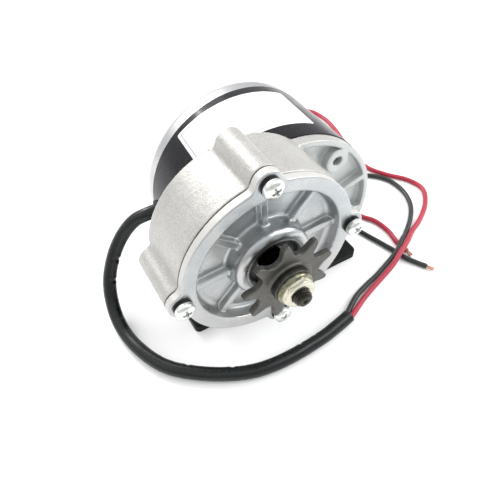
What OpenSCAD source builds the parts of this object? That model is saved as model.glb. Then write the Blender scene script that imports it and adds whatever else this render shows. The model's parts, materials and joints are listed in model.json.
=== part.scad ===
// Geared direct-current motor: round can, offset spur-gear housing, nine-tooth chain sprocket.
// Millimetres. The origin is the centre of the foot's hole pattern, on the foot's underside.
// Z is up, the output shaft points along -Y and X is to the right seen from the sprocket.

/* [Motor] */
// Outer diameter of the steel can
can_dia = 102; // [90:0.2:110]
// Wall of the steel can
can_wall = 3.4; // [2:0.1:5]
// Length of the bare can between flange and rear cap
can_len = 48; // [40:1:90]
// Height of the motor axis over the foot's underside
axis_height = 57; // [54:0.5:70]
// Outer diameter of the rear cap
cap_dia = 101; // [90:0.2:110]
// Outer diameter of the laminated core
core_dia = 76.4; // [60:0.2:77]

/* [Gears] */
// Gear module
gmod = 0.7; // [0.5:0.05:1]
// Teeth on the armature pinion
pinion_teeth = 9; // [8:1:14]
// Teeth on the output gear
gear_teeth = 88; // [60:1:100]
// Direction of the output axis seen from the motor axis, degrees from +X
gear_dir = 143.86; // [120:0.01:160]
// Backlash taken off each tooth, mm on the pitch circle
backlash = 0.12; // [0.05:0.01:0.2]

/* [Gear housing] */
// Outer radius of the drum at its front
drum_r = 42.3; // [40:0.1:46]
// Inner radius of the drum
drum_ri = 38.5; // [38:0.1:42]
// Radius of the four cover screws
screw_pcr = 42.8; // [40:0.1:46]
// Angle of the first cover screw
screw_ang = 92.2; // [80:0.1:100]
// Radius of the screw bosses
boss_r = 6.2; // [5:0.1:8]
// Radius of the mounting flange
flange_r = 50.6; // [48:0.1:54]
// Width of the eight ribs on the cover
rib_w = 3.6; // [2:0.1:6]

/* [Output] */
// Teeth on the chain sprocket
sprocket_teeth = 9; // [9:1:14]
// Chain pitch
chain_pitch = 12.7; // [8:0.1:15.9]
// Outside diameter of the sprocket
sprocket_dia = 43.2; // [40:0.1:60]
// Plate thickness of the sprocket
sprocket_t = 3; // [2:0.1:4]

/* [Foot] */
// Width of the foot plate
foot_w = 111; // [90:1:130]
// Depth of the foot plate
foot_d = 50; // [40:1:60]
// Thickness of the foot plate
foot_t = 6; // [3:0.5:8]
// Hole spacing across
hole_x = 76; // [60:1:90]
// Hole spacing along the motor
hole_y = 30; // [20:1:40]

/* [Leads] */
// Diameter of the black sleeve
sleeve_dia = 7.5; // [6:0.1:9]
// Diameter of each lead
wire_dia = 3.2; // [2.4:0.1:4]

/* [Hidden] */
$fn = 96;

MZ = axis_height;
centre_dist = gmod * (pinion_teeth + gear_teeth) / 2;
OX = centre_dist * cos(gear_dir);
OZ = MZ + centre_dist * sin(gear_dir);
yF = -55;             // rim face of the cover
yS = -51;             // seam between cover and housing
gasket_t = 0.4;
yFl = -27.5;          // front face of the flange
yC = -21.5;           // rear face of the housing, front edge of the can
yR = yC + can_len;    // rear edge of the can
can_r = can_dia / 2;
can_ri = can_r - can_wall;
bolt_r = 41.5;
screw_as = [screw_ang, screw_ang - 93.3, screw_ang - 174.9, screw_ang - 267.4];  // the four cover screws are not evenly spaced
bolt_a = 50;

// lead routes: points of the centre lines
sleeve_pts = [[-49,20,57],[-57.5,20,57],[-65,22.7,53],[-73.2,24.3,44],[-81.5,22.5,32.5],[-88,17.5,20],
  [-91.2,8.6,9.2],[-91.3,-4.8,3.8],[-87.8,-20.8,3.8],[-80.7,-35.4,3.8],[-70.4,-46.1,3.8],[-55.4,-56.2,3.8],
  [-39,-63,3.8],[-20,-65.1,3.8],[0,-64.2,3.8],[11,-62.5,3.8],[21.5,-60.3,3.8]];
red_pts = [[21.7,-61.5,4.6],[35.1,-55.7,4],[45.7,-51.8,4],[54.7,-49,4.4],[65.7,-45.6,5.9],[75.4,-41.2,7.4],
  [85.6,-36.1,6.4],[97.4,-28.8,2.8],[110.6,-22.4,1.7],[124.2,-13,1.7],[133.1,-1.1,1.7],[131,11.7,1.7],
  [121.4,24.9,1.7],[115.3,38.5,1.7],[116.5,57,1.7],[120.5,74,1.7],[124.5,90,1.7],[126,105,1.7],[123,119,1.7],
  [113,128,1.7],[99,129,1.7],[88,119,1.7],[81,104,1.7],[77.5,86,1.7],[76,68,1.7],[76,54,2.4],
  [76,44,5.3],[76,33,5.3],[76.5,20,2],[78.6,1.6,1.7],[84,-8.2,1.7],[85.5,-19.9,1.7],[83.7,-30.2,1.7],[83.8,-39.1,1.7]];
black_pts = [[21.1,-58.3,3.4],[33.9,-51.3,2.2],[45,-47.4,1.8],[54.5,-44.9,1.8],[66.1,-41.5,3.6],
  [76.5,-37.8,5.2],[85,-32.5,5.2],[94.6,-26.7,2.2],[106.4,-18,1.7],[115.4,-7.8,1.7],[120.1,5.1,1.7],[118.9,19,1.7],
  [110.7,29.8,1.7],[99,37,1.7],[87,39,1.7],[76,37,1.7],[68.5,28,1.7],[66,15,1.7],[66.9,-0.8,1.7],
  [70.3,-12.9,1.7],[74.3,-25.4,1.7],[77.3,-35.3,1.7],[79.6,-43.9,1.7],[85.6,-54.9,1.7]];

// ---- helpers ----
module ext(y0, y1) { translate([0, y1, 0]) rotate([90, 0, 0]) linear_extrude(y1 - y0) children(); }
module at_motor() { translate([0, 0, MZ]) children(); }
module at_out() { translate([OX, 0, OZ]) children(); }
module cyl(r, y0, y1) { translate([0, y1, 0]) rotate([90, 0, 0]) cylinder(r = r, h = y1 - y0); }
module ring(ro, ri, y0, y1) { difference() { cyl(ro, y0, y1); cyl(ri, y0 - 1, y1 + 1); } }
module rev(pts) { rotate([-90, 0, 0]) rotate_extrude() polygon(pts); }
module sector2(ri, ro, a0, a1) {
  intersection() {
    difference() { circle(ro); circle(ri); }
    polygon([[0, 0], [90 * cos(a0), 90 * sin(a0)], [90 * cos((a0 + a1) / 2), 90 * sin((a0 + a1) / 2)],
      [90 * cos(a1), 90 * sin(a1)]]);
  }
}
module polar(r, a) { translate([r * cos(a), 0, r * sin(a)]) children(); }

// involute teeth: three or more radial stations on each flank
function inv_deg(c) = tan(acos(c)) * 180 / PI - acos(c);
function half_ang(z, x, r) =
  let (rp = gmod * z / 2, rb = rp * cos(20), s = gmod * (PI / 2 + 2 * x * tan(20)) - backlash)
  s / (2 * rp) * 180 / PI + inv_deg(cos(20)) - inv_deg(min(1, rb / max(rb, r)));
function tooth(z, x, rr, a) = concat(
  [for (r = rr) let (h = half_ang(z, x, r)) [r * cos(a - h), r * sin(a - h)]],
  [for (i = [len(rr) - 1:-1:0]) let (r = rr[i], h = half_ang(z, x, r)) [r * cos(a + h), r * sin(a + h)]]);
function gear_poly(z, x, rr, a0) = [for (k = [0:z - 1]) each tooth(z, x, rr, a0 + 360 / z * k)];

// swept tube along a smoothed route
function cr(p0, p1, p2, p3, t) = 0.5 * (2 * p1 + (p2 - p0) * t + (2 * p0 - 5 * p1 + 4 * p2 - p3) * t * t
  + (3 * p1 - p0 - 3 * p2 + p3) * t * t * t);
function route(P, n) = let (m = len(P) - 1) concat([for (i = [0:m - 1]) for (k = [0:n - 1])
  cr(P[max(i - 1, 0)], P[i], P[i + 1], P[min(i + 2, m)], k / n)], [P[m]]);
function unit(v) = v / norm(v);
function tang(R, i) = unit(R[min(i + 1, len(R) - 1)] - R[max(i - 1, 0)]);
function side(t) = unit(cross([0, 0, 1], t));
module tube(R, r, s) {
  n = len(R);
  pts = [for (i = [0:n - 1]) let (t = tang(R, i), u = side(t), v = cross(t, u))
    for (k = [0:s - 1]) R[i] + r * (cos(360 * (k + 0.5) / s) * u + sin(360 * (k + 0.5) / s) * v)];
  faces = concat([[for (k = [0:s - 1]) k]],
    [for (i = [0:n - 2]) for (k = [0:s - 1]) [i * s + k, (i + 1) * s + k, (i + 1) * s + (k + 1) % s, i * s + (k + 1) % s]],
    [[for (k = [s - 1:-1:0]) (n - 1) * s + k]]);
  polyhedron(pts, faces, convexity = 10);
}

// ---- gear housing ----
module gear_case() color([0.78, 0.77, 0.74]) difference() {
  union() {
    at_motor() difference() {
      cyl(flange_r, yFl, yC);
      for (s = [[18.7, 86], [-9, 14.9], [-34, -13], [-72, -38], [-166, -86]])
        ext(yFl - 1, yFl + 4.5) sector2(25, 47.7, s[0], s[1]);
    }
    at_motor() for (a = [bolt_a, bolt_a + 180]) polar(bolt_r, a) cyl(6.5, yFl + 0.1, yC);
    at_out() rev([[0, yS + gasket_t], [drum_r, yS + gasket_t], [drum_r + 0.3, yC], [0, yC]]);
    at_out() for (a = screw_as) polar(screw_pcr, a) cyl(boss_r, yS + gasket_t, yC - 1.5);
    at_motor() ring(can_ri - 0.05, 43.6, yC - 1, yC + 2);
    at_motor() cyl(16.5, yC - 1, -17.5);
  }
  difference() {
    at_out() cyl(drum_ri, yS - 1, -27);
    at_out() cyl(17, -31, -26);
  }
  at_out() cyl(14, -32, -23);
  at_motor() cyl(8.6, -30, -20);
  at_motor() cyl(13, -25.5, -17);
  at_motor() for (a = [bolt_a, bolt_a + 180]) polar(bolt_r, a) cyl(2.6, yFl - 1, yC + 3);
  at_out() for (a = screw_as) polar(screw_pcr, a) cyl(2.5, yS - 1, -33);
}

// ---- cover ----
module case_cover() color([0.74, 0.75, 0.76]) difference() {
  union() {
    at_out() rev([[0, -48.2], [34.6, -48.2], [35.5, yF + 0.4], [35.9, yF], [drum_r - 0.9, yF], [drum_r, yF + 0.9],
      [drum_r, yS], [38.2, yS], [38.2, -46.4], [37.3, -45.5], [0, -45.5]]);
    at_out() for (a = screw_as) polar(screw_pcr, a) cyl(boss_r, yF, yS);
    // ribs
    intersection() {
      at_out() ring(36, 15, -51.3, -48);
      at_out() for (k = [0:7]) rotate([0, -(93 + 45 * k), 0]) translate([26, 0, 0]) rotate([0, 90, 0])
        linear_extrude(24, center = true) polygon([[-rib_w / 2 - 0.5, -48], [-rib_w / 2 + 0.2, -51.2], [rib_w / 2 - 0.2, -51.2], [rib_w / 2 + 0.5, -48]]);
    }
    // bearing hub
    at_out() rotate([-90, 0, 0]) rotate_extrude() {
      polygon([[0, -43], [20, -43], [20, -47.5], [19.2, -48.6], [18.6, -50.5], [18.1, -54.8], [0, -54.8]]);
      translate([14.9, -54.9]) circle(3.5);
    }
  }
  at_out() cyl(7.2, -58, -52);
  at_out() cyl(12.7, -53.4, -52);
  at_out() cyl(16, -53, -42);
  at_out() for (a = screw_as) polar(screw_pcr, a) cyl(2.9, yF - 1, yS + 1);
}

module cover_gasket() color([0.2, 0.18, 0.16]) difference() {
  union() {
    at_out() cyl(drum_r, yS, yS + gasket_t);
    at_out() for (a = screw_as) polar(screw_pcr, a) cyl(boss_r, yS, yS + gasket_t);
  }
  at_out() cyl(drum_ri, yS - 1, yS + 1);
  at_out() for (a = screw_as) polar(screw_pcr, a) cyl(2.9, yS - 1, yS + 1);
}

module cover_screws() color([0.8, 0.8, 0.78]) at_out() for (a = screw_as) polar(screw_pcr, a) difference() {
  union() {
    cyl(2.45, -57, -34);
    rev([[0, -56.4], [4.4, -56.4], [4.4, -58.3], [4.1, -59.1], [3.3, -59.7], [2.2, -60], [0, -60]]);
  }
  for (t = [20, 110]) rotate([0, t, 0]) translate([-2.6, -60.4, -0.55]) cube([5.2, 2.2, 1.1]);
}

module screw_washers() color([0.12, 0.12, 0.12]) at_out() for (a = screw_as) polar(screw_pcr, a) difference() {
  ring(4.4, 2.85, -56.4, yF);
  rotate([0, 37, 0]) translate([2, -58, -0.35]) cube([4, 4, 0.7]);
}

// ---- can, rear cap, foot ----
module motor_can() color([0.13, 0.13, 0.14]) difference() {
  at_motor() ring(can_r, can_ri, yC, yR);
  translate([0, 20, MZ]) rotate([0, -90, 0]) cylinder(r = 4.6, h = 60);
}

module rear_cap() color([0.82, 0.82, 0.82]) at_motor() difference() {
  union() {
    rev([[0, 37.5], [11, 37.5], [11, 30.5], [15.5, 30.5], [15.5, 33.8], [44.6, 33.8], [45.4, 33], [45.4, yR - 1.5],
      [can_ri - 0.05, yR - 1.5], [can_ri - 0.05, yR], [cap_dia / 2, yR], [cap_dia / 2, 32.2], [49.9, 34.2], [48.3, 35.8],
      [46, 36.6], [40, 37], [18, 37], [16.6, 37.6], [15.8, 39.2], [14.6, 40], [0, 40]]);
    for (a = [bolt_a, bolt_a + 180]) intersection() { polar(bolt_r, a) cyl(6, 29.9, 35); cyl(46, 20, 36); }
    for (a = [0, 180]) polar(32, a) cyl(3.4, 29.6, 35);
  }
  for (a = [bolt_a, bolt_a + 180]) polar(bolt_r, a) { cyl(2.6, 28, 36); cyl(5.2, 35.2, 41); }
  for (a = [0, 180]) polar(32, a) cyl(1.3, 28, 34);
}

module foot_bracket() color([0.1, 0.11, 0.11]) difference() {
  union() {
    linear_extrude(foot_t) difference() {
      translate([-0.8, 0]) union() {
        square([foot_w - 6, foot_d], center = true);
        square([foot_w, foot_d - 6], center = true);
        for (x = [-1, 1], y = [-1, 1]) translate([x * (foot_w / 2 - 3), y * (foot_d / 2 - 3)]) circle(3);
      }
      for (x = [-1, 1], y = [-1, 1]) translate([x * hole_x / 2, y * hole_y / 2]) circle(2.5);
    }
    for (s = [-1, 1]) translate([s * 24.5 - 4.5, -19.5, foot_t - 1]) cube([9, 39, 12]);
  }
  at_motor() cyl(can_r, -30, 30);
}

module through_bolts() color([0.45, 0.44, 0.42]) at_motor() for (a = [bolt_a, bolt_a + 180]) polar(bolt_r, a) difference() {
  union() {
    cyl(2.5, -24.6, 35.6);
    rev([[0, 35.2], [4.5, 35.2], [4.5, 37.8], [3.8, 38.6], [0, 38.6]]);
  }
  rotate([0, 30, 0]) translate([-0.6, 37.4, -6]) cube([1.2, 3, 12]);
}

module rating_label() color([0.93, 0.93, 0.92]) at_motor() intersection() {
  ring(can_r + 0.15, can_r, -15, 28);
  // stuck on a little askew
  translate([0, 5.3, 0]) rotate(-3.3, [cos(97.5), 0, sin(97.5)]) ext(-16, 16) sector2(30, 60, 62.9, 132.2);
}

module lead_grommet() color([0.09, 0.09, 0.09]) difference() {
  translate([0, 20, MZ]) rotate([0, -90, 0]) rotate_extrude()
    polygon([[sleeve_dia / 2, 46.3], [4.9, 46.3], [4.9, can_ri - 0.4], [4.6, can_ri - 0.1], [4.6, 50], [5.4, 50], [5.4, 51.7], [4.9, 52.2], [sleeve_dia / 2, 52.2]]);
  difference() { at_motor() cyl(can_r, 5, 35); translate([0, 20, MZ]) rotate([0, -90, 0]) cylinder(r = 4.6, h = 60); at_motor() cyl(can_ri - 0.2, 4, 36); }
}

// ---- inside the can ----
module magnets() color([0.25, 0.25, 0.26]) at_motor() for (k = [0:3])
  ext(-13, 14) sector2(39.2, can_ri, bolt_a + 10 + 90 * k, bolt_a + 80 + 90 * k);

module brush_plate() color([0.45, 0.25, 0.14]) at_motor() difference() {
  ring(37, 14, 27.8, 29.6);
  for (a = [0, 180]) polar(32, a) cyl(1.7, 27, 31);
}

module holder_at(k) { rotate([0, -(45 + 90 * k), 0]) children(); }
module brush_holders() color([0.75, 0.62, 0.3]) at_motor() for (k = [0:3]) holder_at(k) difference() {
  translate([15, 18.6, -4.2]) cube([17, 9.2, 8.4]);
  translate([14, 19.6, -3.2]) cube([17, 7.2, 6.4]);
}
module brushes() color([0.18, 0.18, 0.18]) at_motor() for (k = [0:3]) holder_at(k) difference() {
  translate([11.5, 19.7, -3.1]) cube([12.5, 7, 6.2]);
  cyl(12.55, 15, 32);
}
module brush_springs() color([0.7, 0.7, 0.72]) at_motor() for (k = [0:3]) holder_at(k)
  translate([24.5, 23.2, 0]) rotate([0, 90, 0])
    tube([for (i = [0:60]) [2.3 * cos(30 * i), 2.3 * sin(30 * i), 6 * i / 60]], 0.4, 6);
module brush_screws() color([0.7, 0.7, 0.68]) at_motor() for (a = [0, 180]) polar(32, a) union() {
  cyl(1.25, 26.8, 33.4);
  rev([[0, 27.8], [2.8, 27.8], [2.8, 26.6], [2, 26], [0, 26]]);
}

module shell_ring(ro, ri, y0, y1, pr, br, k) {
  // outer ring with its two seals; pr is the ball circle, br the ball radius, k the inner ring's outer radius
  difference() {
    union() {
      ring(ro, ri, y0, y1);
      ring(ri + 0.4, k + 0.15, y0 + 0.3, y0 + 0.8);
      ring(ri + 0.4, k + 0.15, y1 - 0.8, y1 - 0.3);
    }
    translate([0, (y0 + y1) / 2, 0]) rotate([-90, 0, 0]) rotate_extrude() translate([pr, 0]) circle(br + 0.05, $fn = 48);
  }
}
module inner_ring(ro, ri, y0, y1, pr, br) difference() {
  ring(ro, ri, y0, y1);
  translate([0, (y0 + y1) / 2, 0]) rotate([-90, 0, 0]) rotate_extrude() translate([pr, 0]) circle(br + 0.05, $fn = 48);
}
module bearing_out_front() color([0.55, 0.55, 0.56]) at_out() shell_ring(16, 13.2, -53, -43, 11.1, 2.9, 8.9);
module bearing_out_rear() color([0.55, 0.55, 0.56]) at_out() shell_ring(14, 11.8, -31, -23, 10, 2.38, 8.2);
module bearing_arm_front() color([0.55, 0.55, 0.56]) at_motor() shell_ring(13, 10.8, -25.5, -17.5, 9, 2.38, 7.2);
module bearing_arm_rear() color([0.55, 0.55, 0.56]) at_motor() shell_ring(11, 9.1, 30.5, 37.5, 7.5, 1.98, 5.9);
module arm_inner_rings() color([0.6, 0.6, 0.6]) at_motor() {
  inner_ring(7.2, 5, -25.5, -17.5, 9, 2.38);
  inner_ring(5.9, 4, 30.5, 37.5, 7.5, 1.98);
}
module out_inner_rings() color([0.6, 0.6, 0.6]) at_out() {
  inner_ring(8.9, 6, -53, -43, 11.1, 2.9);
  inner_ring(8.2, 6, -31, -23, 10, 2.38);
}
module bearing_balls() color([0.7, 0.7, 0.7]) {
  at_out() for (i = [0:7]) polar(11.1, 45 * i) translate([0, -48, 0]) sphere(2.9, $fn = 32);
  at_out() for (i = [0:7]) polar(10, 45 * i) translate([0, -27, 0]) sphere(2.38, $fn = 32);
  at_motor() for (i = [0:6]) polar(9, 360 / 7 * i) translate([0, -21.5, 0]) sphere(2.38, $fn = 32);
  at_motor() for (i = [0:6]) polar(7.5, 360 / 7 * i) translate([0, 34, 0]) sphere(1.98, $fn = 32);
}

// ---- armature ----
module armature_shaft() color([0.6, 0.6, 0.62]) at_motor() union() {
  ext(-43, -29.8) polygon(gear_poly(pinion_teeth, 0.5, [2.63, 2.98, 3.3, 3.7, 4.05], gear_dir));
  rev([[0, -30], [4.3, -30], [5, -29.3], [5, 27.8], [4, 28.4], [4, 36.6], [3.6, 37], [0, 37]]);
}
module slots2(r, w) { for (k = [0:15]) rotate(22.5 * k) { translate([30, 0]) circle(r); translate([30, -w / 2]) square([12, w]); } }
module core_stack() color([0.42, 0.42, 0.44]) at_motor() ext(-10, 11) difference() {
  circle(core_dia / 2); circle(5); slots2(3.2, 2.2);
}
module core_insulators() color([0.55, 0.2, 0.15]) at_motor() for (y = [-10.8, 11]) ext(y, y + 0.8) difference() {
  circle(36); circle(5); slots2(3.2, 2.2);
}
module windings() color([0.72, 0.35, 0.14]) at_motor() union() {
  for (k = [0:15]) polar(30, 22.5 * k) cyl(3, -11, 12);
  rev([[19, -10.8], [34.5, -10.8], [34.5, -14], [32.5, -16.2], [22, -16.2], [19, -14]]);
  rev([[14, 11.8], [34.5, 11.8], [34.5, 15], [32.5, 17], [16, 17], [14, 15]]);
}
module commutator_hub() color([0.2, 0.13, 0.1]) at_motor() ring(9.4, 5, 17.2, 27.7);
module commutator_bars() color([0.75, 0.4, 0.2]) at_motor() difference() {
  ring(12.5, 9.4, 17.6, 27.6);
  for (k = [0:15]) rotate([0, 22.5 * k + 11.25, 0]) translate([8, 17, -0.3]) cube([6, 12, 0.6]);
}

// ---- output ----
module output_shaft() color([0.35, 0.35, 0.36]) at_out() difference() {
  union() {
    rev(concat([[0, -80.3], [3.2, -80.3], [3.95, -79.5]],
      [for (i = [0:6]) each [[3.95, -79.2 + 1.25 * i], [3.4, -78.7 + 1.25 * i], [3.4, -78.45 + 1.25 * i], [3.95, -78.05 + 1.25 * i]]],
      [[3.95, -69.4], [0, -69.4]]));
    intersection() { cyl(5, -69.4, -65.6); translate([-4, -70, -6]) cube([8, 6, 12]); }
    rev([[0, -65.6], [5.8, -65.6], [6, -65.4], [6, -43], [7.5, -43], [7.5, -42.8], [7, -42.8], [7, -42], [7.5, -42], [7.5, -31], [6, -31], [6, -23.3], [0, -23.3]]);
  }
  translate([-2, -41.5, 5.4]) cube([4, 9, 4]);
}
module gear_key() color([0.5, 0.5, 0.5]) at_out() translate([-2, -41.5, 5.4]) cube([4, 9, 3.9]);
module output_gear() color([0.5, 0.5, 0.5]) at_out() difference() {
  ext(-42, -32) polygon(gear_poly(gear_teeth, -0.5, [29.575, 30.4, 31.15], gear_dir + 180 + 180 / gear_teeth));
  cyl(7.5, -43, -31);
  ring(26.5, 12.5, -43, -39.5);
  ring(26.5, 12.5, -34.5, -31);
  for (k = [0:4]) polar(19.5, 72 * k + 20) cyl(4, -43, -31);
  translate([-2, -43, 5]) cube([4, 12, 4.3]);
}
module gear_ring() color([0.3, 0.3, 0.3]) at_out() difference() {
  ring(10.2, 7, -42.8, -42);
  translate([-2.5, -43, 5]) cube([5, 2, 7]);
}
module chain_sprocket() color([0.36, 0.36, 0.35]) at_out() difference() {
  union() {
    ext(-65.6 - sprocket_t, -65.6) difference() {
      circle(sprocket_dia / 2);
      for (k = [0:sprocket_teeth - 1]) rotate(94.8 + 20 + 40 * k) {
        translate([chain_pitch / (2 * sin(180 / sprocket_teeth)), 0]) circle(3.95, $fn = 48);
        polygon([[16.8, -3.53], [18.2, -4.35], [19.4, -5.35], [20.5, -6.45], [21.8, -7.7], [22.6, -7.7],
          [22.6, 7.7], [21.8, 7.7], [20.5, 6.45], [19.4, 5.35], [18.2, 4.35], [16.8, 3.53]]);
      }
    }
    cyl(10.6, -69.4, -66);
  }
  intersection() { cyl(5.02, -70, -65); translate([-4.02, -71, -6]) cube([8.04, 8, 12]); }
}
module sprocket_washer() color([0.08, 0.08, 0.08]) at_out() ring(8.9, 4.1, -72, -69.4);
module sprocket_nut() color([0.84, 0.82, 0.72]) at_out() difference() {
  union() {
    rev([[0, -72], [8.4, -72], [8.4, -73.2], [8.1, -73.6], [6.6, -74.4], [0, -74.4]]);
    intersection() {
      ext(-77, -72.5) rotate(12) circle(r = 6.5 / cos(30), $fn = 6);
      rev([[0, -77], [6.3, -77], [7.7, -76], [7.7, -71], [0, -71]]);
    }
  }
  cyl(4, -78, -70);
}

// ---- leads ----
module lead_sleeve() color([0.08, 0.09, 0.09]) tube(route(sleeve_pts, 1), sleeve_dia / 2, 12);
module lead_red() color([0.63, 0.14, 0.2]) tube(route(red_pts, 1), wire_dia / 2, 8);
module lead_black() color([0.1, 0.12, 0.12]) tube(route(black_pts, 1), wire_dia / 2, 8);
module lead_strands() color([0.75, 0.45, 0.28]) {
  tube([[85.65, -54.99, 1.7], [87.8, -58.93, 1.7]], 1.1, 12);
  tube([[83.8, -39.2, 1.7], [83.85, -43.7, 1.7]], 1.1, 12);
}

gear_case();
case_cover();
cover_gasket();
cover_screws();
screw_washers();
motor_can();
rear_cap();
foot_bracket();
through_bolts();
rating_label();
lead_grommet();
magnets();
brush_plate();
brush_holders();
brushes();
brush_springs();
brush_screws();
bearing_out_front();
bearing_out_rear();
bearing_arm_front();
bearing_arm_rear();
bearing_balls();
arm_inner_rings();
armature_shaft();
core_stack();
core_insulators();
windings();
commutator_hub();
commutator_bars();
output_shaft();
output_gear();
gear_key();
gear_ring();
out_inner_rings();
chain_sprocket();
sprocket_washer();
sprocket_nut();
lead_sleeve();
lead_red();
lead_black();
lead_strands();
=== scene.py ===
# Geared electric motor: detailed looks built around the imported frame. Units are metres, lengths in the helpers are mm.
import json
import math
import bmesh
import bpy
import numpy as np
from mathutils import Matrix, Vector

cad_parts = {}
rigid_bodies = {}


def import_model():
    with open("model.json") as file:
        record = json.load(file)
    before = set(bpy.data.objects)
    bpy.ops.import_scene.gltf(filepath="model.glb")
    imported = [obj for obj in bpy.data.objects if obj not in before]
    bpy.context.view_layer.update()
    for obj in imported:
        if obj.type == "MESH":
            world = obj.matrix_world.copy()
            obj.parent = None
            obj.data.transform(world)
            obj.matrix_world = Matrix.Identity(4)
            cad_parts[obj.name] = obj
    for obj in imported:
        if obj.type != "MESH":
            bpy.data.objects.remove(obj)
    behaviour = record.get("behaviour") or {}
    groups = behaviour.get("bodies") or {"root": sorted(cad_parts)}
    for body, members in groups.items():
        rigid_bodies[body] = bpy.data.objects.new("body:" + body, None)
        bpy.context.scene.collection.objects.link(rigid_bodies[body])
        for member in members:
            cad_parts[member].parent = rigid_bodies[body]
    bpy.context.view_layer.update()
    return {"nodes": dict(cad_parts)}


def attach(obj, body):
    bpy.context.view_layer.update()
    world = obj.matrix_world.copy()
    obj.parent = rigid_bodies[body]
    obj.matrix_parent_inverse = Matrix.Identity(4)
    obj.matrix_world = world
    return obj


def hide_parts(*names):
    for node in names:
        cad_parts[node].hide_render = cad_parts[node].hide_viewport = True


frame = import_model()
nodes = frame["nodes"]
scene = bpy.context.scene
MM = 0.001

# ------------------------------------------------------------------ sizes, as in the part's source (mm)
MZ = 57.0
CD = 0.7 * 97 / 2
OX = CD * math.cos(math.radians(143.86))
OZ = MZ + CD * math.sin(math.radians(143.86))
PCR, PA = 42.8, 92.2

# ------------------------------------------------------------------ camera
CAM = (-103.565, -170.870, 241.086)
RIGHT = (0.86874, -0.49439, -0.02947)
UP = (0.38211, 0.63122, 0.67495)
BACK = (-0.31509, -0.59761, 0.73728)
cam_data = bpy.data.cameras.new("camera")
cam = bpy.data.objects.new("camera", cam_data)
scene.collection.objects.link(cam)
cam_data.sensor_width = 36.0
cam_data.lens = 37.5
cam_data.clip_start, cam_data.clip_end = 0.01, 20.0
m3 = Matrix((RIGHT, UP, BACK)).transposed()
q = m3.to_quaternion(); q.normalize()
cam.rotation_mode = "QUATERNION"
cam.rotation_quaternion = q
cam.location = Vector(CAM) * MM
scene.camera = cam


# ------------------------------------------------------------------ mesh helpers
def link(name, me):
    ob = bpy.data.objects.new(name, me)
    scene.collection.objects.link(ob)
    return ob


def mesh_from(name, verts, faces, smooth=True):
    """verts in mm; faces an array of quads or a list of polygons."""
    me = bpy.data.meshes.new(name)
    v = np.asarray(verts, np.float64) * MM
    if isinstance(faces, np.ndarray):
        n, k = faces.shape
        me.vertices.add(len(v)); me.vertices.foreach_set("co", v.ravel())
        me.loops.add(n * k); me.loops.foreach_set("vertex_index", faces.astype(np.int32).ravel())
        me.polygons.add(n)
        me.polygons.foreach_set("loop_start", np.arange(0, n * k, k, dtype=np.int32))
        me.update(calc_edges=True)
    else:
        me.from_pydata([tuple(p) for p in v], [], [tuple(int(i) for i in f) for f in faces])
    me.validate()
    if smooth:
        me.polygons.foreach_set("use_smooth", [True] * len(me.polygons))
    return me


def smin(a, b, k):
    h = np.clip(0.5 + 0.5 * (b - a) / k, 0.0, 1.0)
    return b * (1 - h) + a * h - k * h * (1 - h)


def smax(a, b, k):
    return -smin(-a, -b, k)


def rmax(a, b, e):
    """Intersection with edges rounded to radius e."""
    a = a + e; b = b + e
    return np.minimum(np.maximum(a, b), 0.0) + np.hypot(np.maximum(a, 0.0), np.maximum(b, 0.0)) - e


def slab(y, y0, y1):
    return np.maximum(y0 - y, y - y1)


def rcyl(rad, y, y0, y1, e=0.4):
    """A cylinder along Y. rad is the distance beyond its side."""
    return rmax(rad, slab(y, y0, y1), e)


def radial(x, z, cx, cz):
    return np.hypot(x - cx, z - cz)


def polar(r, a, c=(0.0, 0.0)):
    a = math.radians(a)
    return c[0] + r * math.cos(a), c[1] + r * math.sin(a)


def poly2(u, v, pts):
    """Signed distance to a closed polygon in the plane."""
    pts = np.asarray(pts, float)
    d2 = np.full(np.broadcast(u, v).shape, 1e9)
    inside = np.zeros(d2.shape, bool)
    n = len(pts)
    for i in range(n):
        ax, ay = pts[i]; bx, by = pts[(i + 1) % n]
        ex, ey = bx - ax, by - ay
        l2 = ex * ex + ey * ey
        if l2 < 1e-12:
            continue
        wx, wy = u - ax, v - ay
        t = np.clip((wx * ex + wy * ey) / l2, 0, 1)
        d2 = np.minimum(d2, (wx - ex * t) ** 2 + (wy - ey * t) ** 2)
        cond = (ay > v) != (by > v)
        if ey != 0:
            inside ^= cond & (u < ex * (v - ay) / ey + ax)
    d = np.sqrt(d2)
    return np.where(inside, -d, d)


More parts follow.
